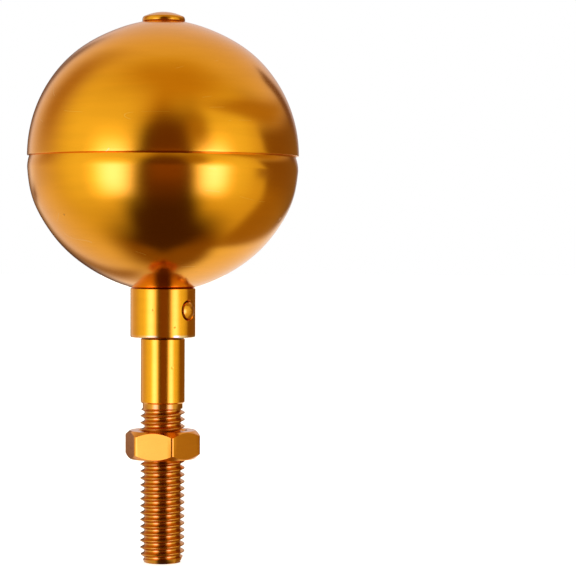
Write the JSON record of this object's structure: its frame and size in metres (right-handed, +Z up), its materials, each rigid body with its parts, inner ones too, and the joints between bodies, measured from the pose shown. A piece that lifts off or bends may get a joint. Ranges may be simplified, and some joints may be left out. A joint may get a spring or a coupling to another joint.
{
  "type": "flagpole finial",
  "caption": "Gold-anodised ball finial with a threaded stem and jam nut, for the top of a flagpole.",
  "frame": {"origin": "on the stem's axis, in the plane of the jam nut's underside, which meets the top of the pole fitting", "axes": "+Z up along the stem and through the ball's crown; -Y faces the viewer, with +X to the right"},
  "size_m": [0.0762, 0.0762, 0.1548],
  "materials": {
    "ball": "spun and anodised gold, satin with fine horizontal lines",
    "rivet": "anodised gold, satin",
    "stem": "turned and anodised gold, with fine tool marks",
    "nut": "anodised deep gold, satin"
  },
  "bodies": {
    "root": {"upper_hemisphere": "ball", "lower_hemisphere": "ball", "top_rivet": "rivet", "stem": "stem", "hex_nut": "nut"}
  },
  "joints": []
}
